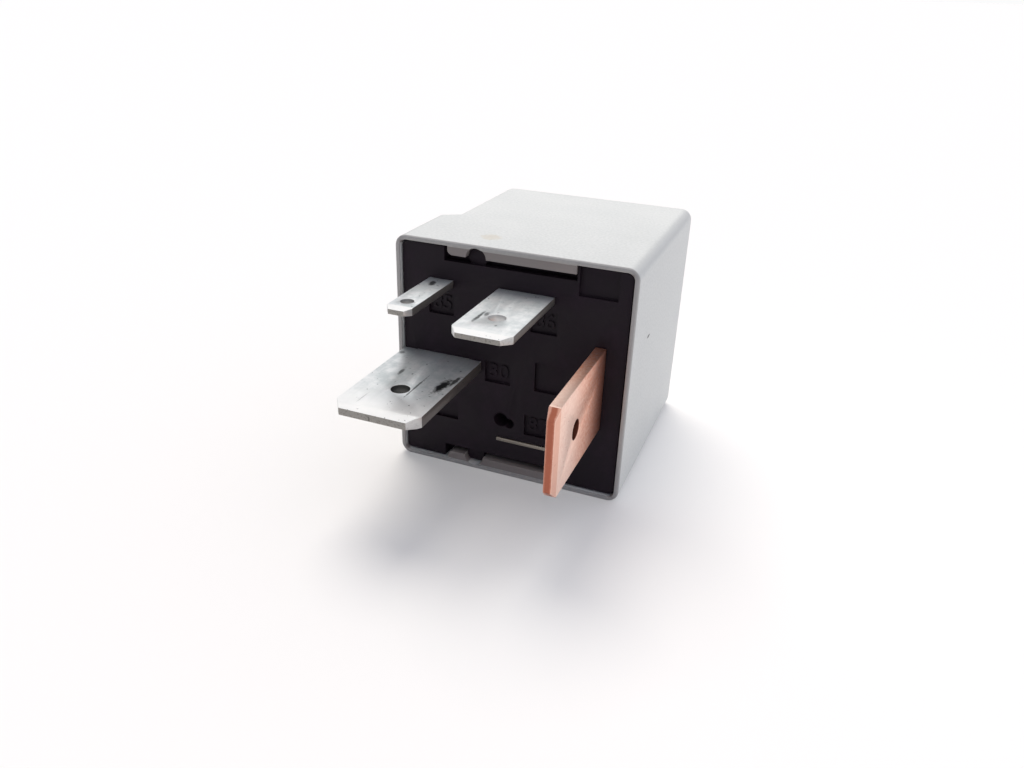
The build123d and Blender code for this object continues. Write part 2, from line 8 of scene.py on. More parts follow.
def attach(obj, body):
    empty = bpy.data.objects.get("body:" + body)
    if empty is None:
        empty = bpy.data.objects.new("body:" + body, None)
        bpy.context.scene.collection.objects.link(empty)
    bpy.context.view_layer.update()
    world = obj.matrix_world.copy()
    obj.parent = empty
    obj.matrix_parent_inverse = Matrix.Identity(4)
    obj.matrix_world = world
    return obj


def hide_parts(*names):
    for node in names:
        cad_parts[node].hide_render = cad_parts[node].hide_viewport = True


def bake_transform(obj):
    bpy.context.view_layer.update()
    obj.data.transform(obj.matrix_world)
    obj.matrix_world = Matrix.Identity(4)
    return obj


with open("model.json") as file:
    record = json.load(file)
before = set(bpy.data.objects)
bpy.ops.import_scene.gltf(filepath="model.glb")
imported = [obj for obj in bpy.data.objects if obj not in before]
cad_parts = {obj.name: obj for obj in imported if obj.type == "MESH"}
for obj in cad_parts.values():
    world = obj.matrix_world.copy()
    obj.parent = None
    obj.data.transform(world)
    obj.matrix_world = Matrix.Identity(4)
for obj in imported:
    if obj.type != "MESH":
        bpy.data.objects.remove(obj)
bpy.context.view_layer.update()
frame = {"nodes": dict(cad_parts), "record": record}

mm = 0.001
nodes = frame["nodes"]
scene = bpy.context.scene
print("frame loaded:", len(nodes), "nodes")


def toLinear(hexColour):
    channels = [int(hexColour[i:i + 2], 16) / 255 for i in (0, 2, 4)]
    lin = [c / 12.92 if c <= 0.04045 else ((c + 0.055) / 1.055) ** 2.4 for c in channels]
    return (*lin, 1.0)


# Adds one node: inputs come in socket order, or by name or number in a dictionary
def addNode(tree, kind, settings=None, inputs=(), out=0):
    node = tree.nodes.new(kind)
    for name, value in (settings or {}).items():
        setattr(node, name, value)
    for key, value in inputs.items() if isinstance(inputs, dict) else enumerate(inputs):
        if isinstance(value, bpy.types.NodeSocket):
            tree.links.new(value, node.inputs[key])
        else:
            node.inputs[key].default_value = value
    return node.outputs[out] if node.outputs else node


# Settings that many nodes share
soft = {"interpolation_type": "SMOOTHSTEP"}
rgba = {"data_type": "RGBA"}
times = {"operation": "MULTIPLY"}
timesPlus = {"operation": "MULTIPLY_ADD"}
lesser = {"operation": "MINIMUM"}
greater = {"operation": "MAXIMUM"}
unsigned = {"operation": "ABSOLUTE"}


def newTree(name):
    material = bpy.data.materials.new(name)
    material.use_nodes = True
    tree = material.node_tree
    tree.nodes.clear()
    return material, tree


# The finish of a piece: one ground colour under coats of other tones, each with its share
def finish(tree, ground, coats, inputs):
    colour = ground
    for tone, share in coats:
        colour = addNode(tree, "ShaderNodeMix", rgba, {0: share, 6: colour, 7: toLinear(tone)}, 2)
    shader = addNode(tree, "ShaderNodeBsdfPrincipled", {}, {"Base Color": colour, **inputs})
    addNode(tree, "ShaderNodeOutputMaterial", {}, {"Surface": shader})


def perMm(size):
    return 1 / (size * mm)


# Ragged spots and streaks: tone, place, turn about Z, half sizes and how strong the middle gets
ragged = {"wobbleMm": 0.5, "wobble": 1.2, "outer": 1.6, "inner": 1.0}


def raggedSpots(tree, where, spots):
    wobble = addNode(tree, "ShaderNodeTexNoise", {}, {
        "Vector": where, "Scale": perMm(ragged["wobbleMm"]), "Detail": 5.0})
    coats = []
    for tone, at, turn, halfSizes, amount in spots:
        place = addNode(tree, "ShaderNodeMapping", {"vector_type": "TEXTURE"}, {
            "Vector": where, "Location": Vector(at) * mm, "Rotation": (0, 0, math.radians(turn)),
            "Scale": Vector(halfSizes) * mm})
        apart = addNode(tree, "ShaderNodeVectorMath", {"operation": "LENGTH"}, (place,), "Value")
        reach = addNode(tree, "ShaderNodeMath", timesPlus, (wobble, ragged["wobble"], apart))
        coats.append((tone, addNode(tree, "ShaderNodeMapRange", soft, (
            reach, ragged["outer"], ragged["inner"], 0.0, amount))))
    return coats


# Grey ABS, injection moulded: soft semi-gloss, faint clouds in the colour, fine spark grain, painted shade
# along the rounded edges, on the ledges inside the mouth and on the front of the rim, one yellowed mark on
# top and a dark speck on the flank. The grain is drawn coarser than the real one, so that it shows.
coverLook = {
    # edge is painted shade: a greyer band along the rounded edges
    # the mouth shade is painted shade on the ledges inside the mouth and on the front of the rim
    "pale": "DFE1DE", "deep": "CFD2CF", "edge": "B6B8B7", "paintedMouthShade": "8A8380", "cloudMm": 7.0, "grainMm": 0.3,
    "grainDepthMm": 0.018, "roughLow": 0.42, "roughHigh": 0.55,
    "sideMm": 13.5, "endMm": 27.0, "edgeMm": 1.3, "rimMm": 0.5, "mouthMm": 4.0,
    "spots": (("C4B28C", (-3.8, 3.6, 13.5), 0, (1.4, 1.4, 1.4), 0.3),
              ("2E2C2C", (13.5, 7.2, 3.9), 0, (0.3, 0.8, 0.2), 1.0)),
}


def greyAbs():
    look = coverLook
    material, tree = newTree("greyAbsMoulded")
    where = addNode(tree, "ShaderNodeTexCoord", out="Object")
    cloud = addNode(tree, "ShaderNodeTexNoise", {}, {
        "Vector": where, "Scale": perMm(look["cloudMm"]), "Detail": 3.0})
    grain = addNode(tree, "ShaderNodeTexNoise", {}, {
        "Vector": where, "Scale": perMm(look["grainMm"]), "Detail": 3.0})
    clouded = addNode(tree, "ShaderNodeMath", times, (cloud, 0.4))
    mottle = addNode(tree, "ShaderNodeMath", timesPlus, (grain, 0.7, clouded))
    pale = addNode(tree, "ShaderNodeMapRange", soft, (mottle, 0.3, 0.8))
    # two of the three distances to the sides and the closed end are small only on a rounded edge
    place = addNode(tree, "ShaderNodeSeparateXYZ", {}, (where,)).node.outputs
    side, end, edge, rim = (look[name] * mm for name in ("sideMm", "endMm", "edgeMm", "rimMm"))
    across = addNode(tree, "ShaderNodeMath", unsigned, (place[0],))
    upward = addNode(tree, "ShaderNodeMath", unsigned, (place[2],))
    fromSide = addNode(tree, "ShaderNodeMath", {"operation": "SUBTRACT"}, (side, across))
    fromTop = addNode(tree, "ShaderNodeMath", {"operation": "SUBTRACT"}, (side, upward))
    fromEnd = addNode(tree, "ShaderNodeMath", {"operation": "SUBTRACT"}, (end, place[1]))
    nearest = addNode(tree, "ShaderNodeMath", lesser, (fromSide, fromTop))
    longEdge = addNode(tree, "ShaderNodeMath", greater, (fromSide, fromTop))
    endEdge = addNode(tree, "ShaderNodeMath", greater, (fromEnd, nearest))
    fromEdge = addNode(tree, "ShaderNodeMath", lesser, (longEdge, endEdge))
    # painted shade: the rounded edges are drawn greyer
    worn = addNode(tree, "ShaderNodeMapRange", soft, (fromEdge, edge, 0.4 * edge, 0.0, 0.75))
    # painted shade: the ledges inside the mouth and the front of the rim are drawn darker
    inside = addNode(tree, "ShaderNodeMapRange", soft, (nearest, rim, 1.3 * rim))
    mouth = look["mouthMm"] * mm
    shallow = addNode(tree, "ShaderNodeMapRange", soft, (place[1], 1.25 * mouth, 0.75 * mouth))
    paintedLedgeShade = addNode(tree, "ShaderNodeMath", times, (inside, shallow))
    paintedLipShade = addNode(tree, "ShaderNodeMapRange", soft, (place[1], 0.3 * mm, 0.05 * mm, 0.0, 0.6))
    coats = [(look["pale"], pale), (look["edge"], worn), (look["paintedMouthShade"], paintedLedgeShade), (look["paintedMouthShade"], paintedLipShade)]
    finish(tree, toLinear(look["deep"]), coats + raggedSpots(tree, where, look["spots"]), {
        "Roughness": addNode(tree, "ShaderNodeMapRange", soft, (
            cloud, 0.3, 0.7, look["roughLow"], look["roughHigh"])),
        "Normal": addNode(tree, "ShaderNodeBump", {}, {
            "Height": grain, "Distance": look["grainDepthMm"] * mm, "Strength": 0.5}),
        "IOR": 1.53})
    return material


# Black PBT with glass fibre: near black with a violet cast, dull, fibre flecks and paler scuffs
baseLook = {
    # on the base this tone marks only the paler scuffs
    "dark": "150C15", "worn": "221822", "cloudMm": 3.5, "fleckMm": 0.35, "fleckDepthMm": 0.012,
    "roughLow": 0.5, "roughHigh": 0.68, "specular": 0.2,
}


def blackPbt():
    look = baseLook
    material, tree = newTree("blackPbtGlassFilled")
    where = addNode(tree, "ShaderNodeTexCoord", out="Object")
    cloud = addNode(tree, "ShaderNodeTexNoise", {}, {
        "Vector": where, "Scale": perMm(look["cloudMm"]), "Detail": 6.0, "Roughness": 0.65})
    fleck = addNode(tree, "ShaderNodeTexVoronoi", {}, {
        "Vector": where, "Scale": perMm(look["fleckMm"])}, "Distance")
    scuffed = addNode(tree, "ShaderNodeMapRange", soft, (cloud, 0.42, 0.75))
    finish(tree, toLinear(look["dark"]), [(look["worn"], scuffed)], {
        "Roughness": addNode(tree, "ShaderNodeMapRange", soft, (
            cloud, 0.3, 0.7, look["roughLow"], look["roughHigh"])),
        "Normal": addNode(tree, "ShaderNodeBump", {}, {
            "Height": fleck, "Distance": look["fleckDepthMm"] * mm, "Strength": 0.35}),
        "Specular IOR Level": look["specular"]})
    return material


# How far a face has to turn before it counts as one of these: parts of its normal, from none to full
facets = {
    "flank": (0.75, 0.95), "cut": (0.5, 0.75), "upright": (0.8, 0.95), "coined": (0.04, 0.1),
    "pressed": (0.1, 0.17), "tip": (0.5, 0.65),
}


# Rolled sheet metal: streaks along the rolling direction and clouds of tarnish. The blades add tarnish
# with painted shade towards the root, painted light towards the tip, painted shade on faces turned to +X,
# grey gritty cuts, a coined bevel drawn lighter as a painted highlight, rub marks and punched holes
# with painted shading inside. Rolling lines and grit are drawn coarser than real ones, so that they show.
def rolledMetal(look):
    material, tree = newTree(look["name"])
    where = addNode(tree, "ShaderNodeTexCoord", out="Object")
    drawn = addNode(tree, "ShaderNodeVectorMath", times, (where, look["stretch"]))
    streak = addNode(tree, "ShaderNodeTexNoise", {}, {
        "Vector": drawn, "Scale": perMm(look["streakMm"]), "Detail": 4.0})
    patch = addNode(tree, "ShaderNodeTexNoise", {}, {
        "Vector": where, "Scale": perMm(look["patchMm"]), "Detail": 5.0, "Roughness": 0.6})
    both = addNode(tree, "ShaderNodeMath", timesPlus, (streak, look["streakShare"], patch))
    top = 0.75 + 0.5 * look["streakShare"]
    coats = [(look["bright"], addNode(tree, "ShaderNodeMapRange", soft, (both, top - 0.45, top)))]
    facing = addNode(tree, "ShaderNodeNewGeometry", out="True Normal")
    normal = addNode(tree, "ShaderNodeSeparateXYZ", {}, (facing,)).node.outputs
    place = addNode(tree, "ShaderNodeSeparateXYZ", {}, (where,)).node.outputs
    forward = addNode(tree, "ShaderNodeMath", times, (normal[1], -1.0))
    wavy = addNode(tree, "ShaderNodeMath", timesPlus, (patch, 5 * mm, place[1]))
    # fades along the blade: the darker ones are tarnish with painted shade towards the root, the paler ones
    # painted light towards the tip
    for tone, start, end, amount in look.get("tarnishAndPaintedLightFades", ()):
        coats.append((tone, addNode(tree, "ShaderNodeMapRange", soft, (
            wavy, start * mm, end * mm, 0.0, amount))))
    # painted shade: faces turned to +X are drawn darker
    if "flank" in look:
        coats.append((look["flank"], addNode(tree, "ShaderNodeMapRange", soft, (
            normal[0], *facets["flank"]))))
    if "front" in look:
        cut = addNode(tree, "ShaderNodeMapRange", soft, (forward, *facets["cut"]))
        coats.append((look["front"], cut))
    if "gritMm" in look:
        grit = addNode(tree, "ShaderNodeTexNoise", {}, {
            "Vector": where, "Scale": perMm(look["gritMm"]), "Detail": 2.0})
        pitted = addNode(tree, "ShaderNodeMapRange", soft, (grit, 0.5, 0.68, 0.0, 0.6))
        coats.append((look["flank"], addNode(tree, "ShaderNodeMath", times, (cut, pitted))))
    # painted highlight: the coined bevel of the tip is drawn lighter
    if "coined" in look:
        tilted = addNode(tree, "ShaderNodeMapRange", soft, (forward, *facets["coined"]))
        upright = addNode(tree, "ShaderNodeMapRange", soft, (normal[2], *facets["upright"]))
        coats.append((look["coined"], addNode(tree, "ShaderNodeMath", times, (tilted, upright))))
    # painted highlight: the pressed bevel is drawn lighter; the torn band across the cut tip is the fracture
    # zone of the cut
    if "torn" in look:
        tone, start, end, blur = look["torn"]
        tilted = addNode(tree, "ShaderNodeMapRange", soft, (forward, *facets["pressed"]))
        across = addNode(tree, "ShaderNodeMath", unsigned, (normal[0],))
        broad = addNode(tree, "ShaderNodeMapRange", soft, (across, *facets["upright"]))
        coats.append((look["pressed"], addNode(tree, "ShaderNodeMath", times, (tilted, broad))))
        uneven = addNode(tree, "ShaderNodeMath", timesPlus, (patch, 0.25 * mm, place[0]))
        near = addNode(tree, "ShaderNodeMapRange", soft, (uneven, start * mm, (start + blur) * mm))
        far = addNode(tree, "ShaderNodeMapRange", soft, (uneven, end * mm, (end - blur) * mm))
        band = addNode(tree, "ShaderNodeMath", times, (near, far))
        tip = addNode(tree, "ShaderNodeMapRange", soft, (forward, *facets["tip"]))
        coats.append((tone, addNode(tree, "ShaderNodeMath", times, (band, tip))))
    if "speckMm" in look:
        speck = addNode(tree, "ShaderNodeTexNoise", {}, {
            "Vector": where, "Scale": perMm(look["speckMm"]), "Detail": 2.0})
        coats.append((look["speck"], addNode(tree, "ShaderNodeMapRange", soft, (
            speck, 0.68, 0.76, 0.0, 0.7))))
    if "spots" in look:
        coats += raggedSpots(tree, where, look["spots"])
    # painted shading inside the punched holes: dark where the wall is in shade, paler in the hole that
    # catches light
    for tone, centre, halfSizes in look.get("holes", ()):
        inside = addNode(tree, "ShaderNodeMapping", {"vector_type": "TEXTURE"}, {
            "Vector": where, "Location": Vector(centre) * mm, "Scale": Vector(halfSizes) * mm})
        apart = addNode(tree, "ShaderNodeVectorMath", {"operation": "LENGTH"}, (inside,), "Value")
        coats.append((tone, addNode(tree, "ShaderNodeMapRange", soft, (apart, 1.04, 1.01))))
    finish(tree, toLinear(look["dull"]), coats, {
        "Roughness": addNode(tree, "ShaderNodeMapRange", soft, (
            both, top - 0.45, top, look["roughHigh"], look["roughLow"])),
        "Normal": addNode(tree, "ShaderNodeBump", {}, {
            "Height": streak, "Distance": look["streakDepthMm"] * mm, "Strength": 0.5}),
        "Metallic": look["metallic"]})
    return material


# Tin plate over brass: rolled along the blade and rubbed dark by sockets. It is pale and milky, because
# part of its light is scattered, so metallic is well below one.
tinLook = {
    # coined is a painted highlight on the tip bevel
    # flank is painted shade on the faces turned to +X; the same tone darkens the grit pits of the cuts
    "name": "tinPlatedBrass", "bright": "F4F5F4", "dull": "CDD3D3", "coined": "F3F3F1", "flank": "6E6A67",
    "front": "98958F", "gritMm": 0.22, "speck": "2B2A2B", "speckMm": 0.5, "metallic": 0.55,
    "stretch": (1.0, 0.06, 1.0), "streakMm": 0.35, "streakShare": 0.2, "streakDepthMm": 0.0025,
    "patchMm": 1.5, "roughLow": 0.32, "roughHigh": 0.46,
    # darker towards the root: tarnish with painted shade; paler towards the tip: painted light
    "tarnishAndPaintedLightFades": (("747273", 0.2, 5.0, 0.65), ("FFFEFB", -6.5, -11.5, 0.75)),
    "spots": (
        ("2B2A2B", (-6.83, -8.2, 0.3), 0, (0.14, 3.6, 0.4), 0.8),
        ("1E1E20", (-4.5, -7.0, 0.3), -4, (0.7, 2.4, 0.4), 1.0),
        ("2B2A2B", (-3.75, -5.4, 0.3), -3, (0.3, 1.6, 0.4), 0.9),
        ("2B2A2B", (-10.0, -5.6, 0.3), 2, (0.3, 1.1, 0.4), 0.75),
        ("2B2A2B", (-12.4, -1.2, 0.3), 0, (0.45, 0.6, 0.4), 0.7),
        ("2B2A2B", (-10.57, -12.6, 0.3), -1, (0.12, 1.3, 0.4), 0.3),
        ("2B2A2B", (-0.11, -7.8, 9.1), -2, (0.24, 1.9, 0.4), 0.85),
        ("2B2A2B", (0.35, -6.9, 9.1), 8, (0.34, 0.8, 0.4), 0.7),
        ("2B2A2B", (-8.45, -1.2, 9.1), 9, (0.5, 0.9, 0.4), 0.9),
    ),
    # painted shading inside the holes of the three blades
    "holes": (("A5A5A3", (-8.18, -7.2, 8.7), (0.7, 0.7, 4)), ("D8D8D6", (1.625, -7.35, 8.7), (0.9, 0.9, 4)),
              ("4E4E4C", (-8.05, -9.35, -0.3), (1.0, 1.0, 4))),
}
# Bare copper strip: pink where it is rubbed, red brown tarnish with painted shade towards the root,
# painted light towards the tip, a pressed bevel drawn lighter as a painted highlight, a torn band in the cut
# tip and painted shade inside the hole
copperLook = {
    # pressed is a painted highlight on the tip bevel
    "name": "bareCopperStrip", "bright": "F8CFBB", "dull": "DE9D83", "pressed": "ECBBA6", "front": "CC8E78",
    "torn": ("A8634E", 9.78, 10.6, 0.22), "speck": "B9745C", "speckMm": 0.25, "metallic": 0.85,
    "stretch": (1.0, 0.15, 1.0), "streakMm": 0.3, "streakShare": 0.2, "streakDepthMm": 0.006,
    "patchMm": 0.38, "roughLow": 0.38, "roughHigh": 0.5,
    # red brown towards the root: tarnish with painted shade; paler towards the tip: painted light
    "tarnishAndPaintedLightFades": (("86301F", -5.0, 4.0, 0.6), ("FFE6D8", -3.0, -9.0, 0.65)),
    # painted shade inside the hole
    "holes": (("5A2E22", (10.05, -8.75, -0.3), (4, 1.05, 1.05)),),
}
# Zinc plated soft iron: cool grey with a faint spangle
zincLook = {
    "name": "zincPlatedIron", "bright": "B9BBBE", "dull": "93959A", "metallic": 1.0,
    "stretch": (1.0, 0.2, 1.0), "streakMm": 0.4, "streakShare": 0.45, "streakDepthMm": 0.004,
    "patchMm": 1.8, "roughLow": 0.3, "roughHigh": 0.46,
}
# Rolled spring bronze with a thin tin wash: warm grey, darker on its cut end
bronzeLook = {
    "name": "rolledSpringBronze", "bright": "D2CDC2", "dull": "AFA493", "front": "8F887F", "metallic": 0.9,
    "stretch": (1.0, 0.05, 0.05), "streakMm": 0.25, "streakShare": 0.45, "streakDepthMm": 0.003,
    "patchMm": 2.2, "roughLow": 0.26, "roughHigh": 0.4,
}
# Bright headed steel wire of the rivets
rivetLook = {
    "name": "headedSteel", "bright": "B4B4B4", "dull": "8B8B8D", "metallic": 1.0,
    "stretch": (1.0, 1.0, 1.0), "streakMm": 0.3, "streakShare": 0.45, "streakDepthMm": 0.003,
    "patchMm": 1.0, "roughLow": 0.28, "roughHigh": 0.4,
}
# Silver alloy of the contact rivets: white metal, faintly sulphided
silverLook = {
    "name": "silverAlloy", "bright": "DFDDD8", "dull": "B9B3A6", "metallic": 1.0,
    "stretch": (1.0, 1.0, 1.0), "streakMm": 0.3, "streakShare": 0.45, "streakDepthMm": 0.003,
    "patchMm": 0.9, "roughLow": 0.22, "roughHigh": 0.36,
}
# Drawn copper strands of the braid: warm red brown with fine lines along the strand
braidLook = {
    "name": "drawnCopperStrands", "bright": "C98362", "dull": "9A5638", "metallic": 1.0,
    "stretch": (1.0, 0.3, 0.3), "streakMm": 0.3, "streakShare": 0.45, "streakDepthMm": 0.004,
    "patchMm": 1.2, "roughLow": 0.3, "roughHigh": 0.45,
}

# Natural polyamide of the bobbin: ivory, dull, faint flow clouds
bobbinLook = {"deep": "D6CFBC", "pale": "E4DECF", "cloudMm": 3.0, "cloudDepthMm": 0.01, "rough": 0.5}


def ivoryPolyamide():
    look = bobbinLook
    material, tree = newTree("naturalPolyamide")
    where = addNode(tree, "ShaderNodeTexCoord", out="Object")
    cloud = addNode(tree, "ShaderNodeTexNoise", {}, {
        "Vector": where, "Scale": perMm(look["cloudMm"]), "Detail": 4.0})
    finish(tree, toLinear(look["deep"]), [(look["pale"], cloud)], {
        "Roughness": look["rough"],
        "Normal": addNode(tree, "ShaderNodeBump", {}, {
            "Height": cloud, "Distance": look["cloudDepthMm"] * mm, "Strength": 0.3})})
    return material


# Enamelled copper wire wound in layers: amber gloss, one ridge for each turn along Y, and painted shade
# in the grooves between the turns
wireLook = {
    "paintedGrooveShade": "5E2410", "ridge": "B4582A", "pitchMm": 0.32, "ridgeMm": 0.1, "metallic": 0.6, "rough": 0.28,
    "varnish": 0.6,
}


def enamelledWire():
    look = wireLook
    material, tree = newTree("enamelledCopperWire")
    where = addNode(tree, "ShaderNodeTexCoord", out="Object")
    # a wave texture of scale 1 has a ridge every 2 pi / 20 units
    turns = addNode(tree, "ShaderNodeTexWave", {"bands_direction": "Y"}, {
        "Vector": where, "Scale": 2 * math.pi / 20 * perMm(look["pitchMm"]), "Distortion": 0.2}, 1)
    # the grooves between the turns are painted shade
    finish(tree, toLinear(look["paintedGrooveShade"]), [(look["ridge"], turns)], {
        "Metallic": look["metallic"], "Roughness": look["rough"], "Coat Weight": look["varnish"],
        "Normal": addNode(tree, "ShaderNodeBump", {}, {
            "Height": turns, "Distance": look["ridgeMm"] * mm, "Strength": 0.7})})
    return material


# Lacquered ceramic of the resistor: grey blue with plain rings
resistorLook = {
    "body": "7E98A3", "ring": "4B3A33", "pitchMm": 1.1, "ringShare": 0.32, "shift": 0.35, "rough": 0.35,
}


def resistorLacquer():
    look = resistorLook
    material, tree = newTree("lacqueredCeramic")
    where = addNode(tree, "ShaderNodeTexCoord", out="Object")
    across = addNode(tree, "ShaderNodeSeparateXYZ", {}, (where,))
    count = addNode(tree, "ShaderNodeMath", timesPlus, (across, perMm(look["pitchMm"]), look["shift"]))
    within = addNode(tree, "ShaderNodeMath", {"operation": "FRACT"}, (count,))
    ring = addNode(tree, "ShaderNodeMath", {"operation": "LESS_THAN"}, (within, look["ringShare"]))
    finish(tree, toLinear(look["body"]), [(look["ring"], ring)], {"Roughness": look["rough"]})
    return material


looks = {
    "grey_plastic": greyAbs(), "black_plastic": blackPbt(), "tinned_brass": rolledMetal(tinLook),
    "bare_copper": rolledMetal(copperLook), "zinc_steel": rolledMetal(zincLook),
    "bobbin_plastic": ivoryPolyamide(), "enamelled_wire": enamelledWire(),
    "spring_bronze": rolledMetal(bronzeLook), "rivet_steel": rolledMetal(rivetLook),
    "silver_alloy": rolledMetal(silverLook), "copper_braid": rolledMetal(braidLook),
    "resistor_coating": resistorLacquer(),
}
slotOf = {part["node"]: part["material_slot"] for part in frame["record"]["subparts"]}
for name, node in nodes.items():
    node.data.materials.clear()
    node.data.materials.append(looks[slotOf[name]])
print("materials:", len(looks))


def newPiece(name, mesh, slotName):
    piece = bpy.data.objects.new(name, mesh)
    scene.collection.objects.link(piece)
    mesh.materials.clear()
    mesh.materials.append(looks[slotName])
    return piece


# A node's own shape with its sharp edges broken, as tumbling and moulding leave them. Edges between the
# two angles, such as those of the coined tips, stay crisp in the shading.
edges = {"mergeMm": 0.0005, "flatDegrees": 0.6, "crispDegrees": 7, "brokenDegrees": 40, "segments": 2}


def softened(nodeName, pieceName, width):
    shape = bmesh.new()
    shape.from_mesh(nodes[nodeName].data)
    bmesh.ops.remove_doubles(shape, verts=shape.verts, dist=edges["mergeMm"] * mm)
    flat = math.radians(edges["flatDegrees"])
    bmesh.ops.dissolve_limit(shape, angle_limit=flat, verts=shape.verts, edges=shape.edges)
    for edge in shape.edges:
        angle = math.degrees(edge.calc_face_angle(0.0))
        edge.smooth = not edges["crispDegrees"] <= angle <= edges["brokenDegrees"]
    mesh = bpy.data.meshes.new(pieceName)
    shape.to_mesh(mesh)
    shape.free()
    draft = bpy.data.objects.new(pieceName + "Draft", mesh)
    scene.collection.objects.link(draft)
    mesh.shade_smooth()
    bevel = draft.modifiers.new("edges", "BEVEL")
    bevel.width = width * mm
    bevel.segments = edges["segments"]
    bevel.limit_method = "ANGLE"
    bevel.angle_limit = math.radians(edges["brokenDegrees"])
    bevel.harden_normals = True
    bevel.use_clamp_overlap = True
    done = bpy.data.meshes.new_from_object(draft.evaluated_get(bpy.context.evaluated_depsgraph_get()))
    bpy.data.objects.remove(draft)
    piece = newPiece(pieceName, done, slotOf[nodeName])
    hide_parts(nodeName)
    return piece


# The pieces that are seen, each with the width of its broken edges in mm
dressed = {
    "cover": 0.1, "base": 0.06, "coil_terminal_narrow": 0.05, "coil_terminal_wide": 0.05,
    "supply_terminal": 0.06, "load_terminal": 0.08,
}
for nodeName, width in dressed.items():
    words = nodeName.split("_")
    pieceName = words[0] + "".join(w.capitalize() for w in words[1:]) + "Dressed"
    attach(softened(nodeName, pieceName, width), "relay_body")
print("dressed:", len(dressed))

# Terminal numbers, raised in the label pockets of the base
digits = {
    "floor": 0.85, "rise": 0.13, "sunk": 0.02, "edge": 0.03, "size": 2.35,
    "places": (("85", -8.18, 6.3), ("86", 3.72, 6.1), ("30", -1.35, -0.75), ("87", 3.5, -6.45)),
}
gathered = bmesh.new()
for words, x, z in digits["places"]:
    letters = bpy.data.curves.new("letters", "FONT")
    letters.body = words
    letters.size = digits["size"] * mm
    letters.align_x = "CENTER"
    letters.align_y = "CENTER"
    letters.extrude = digits["rise"] / 2 * mm
    letters.bevel_depth = digits["edge"] * mm
    letters.resolution_u = 4
    holder = bpy.data.objects.new("letters", letters)
    scene.collection.objects.link(holder)
    flat = bpy.data.meshes.new_from_object(holder.evaluated_get(bpy.context.evaluated_depsgraph_get()))
    level = (digits["floor"] - digits["rise"] / 2 + digits["sunk"]) * mm
    flat.transform(Matrix.Translation((x * mm, level, z * mm)) @ Matrix.Rotation(math.pi / 2, 4, "X"))
    gathered.from_mesh(flat)
    bpy.data.objects.remove(holder)
    bpy.data.meshes.remove(flat)
numbers = bpy.data.meshes.new("terminalNumbers")
bmesh.ops.remove_doubles(gathered, verts=gathered.verts, dist=edges["mergeMm"] * mm)
gathered.to_mesh(numbers)
gathered.free()
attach(newPiece("terminalNumbers", numbers, "black_plastic"), "relay_body")
print("terminal numbers done")

# The contact spring, which flexes at the hinge between the yoke and the armature, kept in its node's shape
# with its edges broken
spring = softened("contact_spring", "contactSpringBent", 0.05)
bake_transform(spring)

# Copper braid: strands twisted round the route of the cord, made by a node tree
braid = {
    "route": ((-7.05, 5.2, 1.22), (-7.05, 11.5, 1.22), (-7.05, 17.09, 8.9),
              (-7.05, 22.39, 8.9), (-2.43, 22.39, 8.9)),
    "strands": 7, "strandMm": 0.31, "ringMm": 0.56, "turns": 5.0,  # radii of a strand and of the ring
    "start": (-7.05, 11.0, 1.2), "end": (-7.05, 21.0, 8.9),
}


def strandTree():
    tree = bpy.data.node_groups.new("strandsOnRoute", "GeometryNodeTree")
    sockets = {}
    for label, kind in (("Geometry", "NodeSocketGeometry"), ("Strands", "NodeSocketInt"),
                        ("Strand Radius", "NodeSocketFloat"), ("Ring Radius", "NodeSocketFloat"),
                        ("Twist", "NodeSocketFloat"), ("Finish", "NodeSocketMaterial")):
        sockets[label] = tree.interface.new_socket(label, in_out="INPUT", socket_type=kind).identifier
    tree.interface.new_socket("Geometry", in_out="OUTPUT", socket_type="NodeSocketGeometry")
    given = addNode(tree, "NodeGroupInput").node.outputs
    along = addNode(tree, "GeometryNodeSplineParameter")
    turn = addNode(tree, "ShaderNodeMath", times, (along, given["Twist"]))
    even = addNode(tree, "GeometryNodeResampleCurve", {}, {"Curve": given["Geometry"], "Count": 90})
    twisted = addNode(tree, "GeometryNodeSetCurveTilt", {}, {"Curve": even, "Tilt": turn})
    ring = addNode(tree, "GeometryNodeCurvePrimitiveCircle", {}, {
        "Resolution": given["Strands"], "Radius": given["Ring Radius"]})
    wire = addNode(tree, "GeometryNodeCurvePrimitiveCircle", {}, {
        "Resolution": 8, "Radius": given["Strand Radius"]})
    spots = addNode(tree, "GeometryNodeCurveToPoints", {"mode": "EVALUATED"}, {"Curve": ring})
    bundle = addNode(tree, "GeometryNodeInstanceOnPoints", {}, {"Points": spots, "Instance": wire})
    profile = addNode(tree, "GeometryNodeRealizeInstances", {}, (bundle,))
    swept = addNode(tree, "GeometryNodeCurveToMesh", {}, {
        "Curve": twisted, "Profile Curve": profile, "Fill Caps": True})
    core = addNode(tree, "GeometryNodeCurveToMesh", {}, {
        "Curve": twisted, "Profile Curve": wire, "Fill Caps": True})
    joined = addNode(tree, "GeometryNodeJoinGeometry", {}, (swept,))
    tree.links.new(core, joined.node.inputs[0])
    real = addNode(tree, "GeometryNodeRealizeInstances", {}, (joined,))
    dressedUp = addNode(tree, "GeometryNodeSetMaterial", {}, {"Geometry": real, "Material": given["Finish"]})
    addNode(tree, "NodeGroupOutput", {}, (dressedUp,))
    return tree, sockets


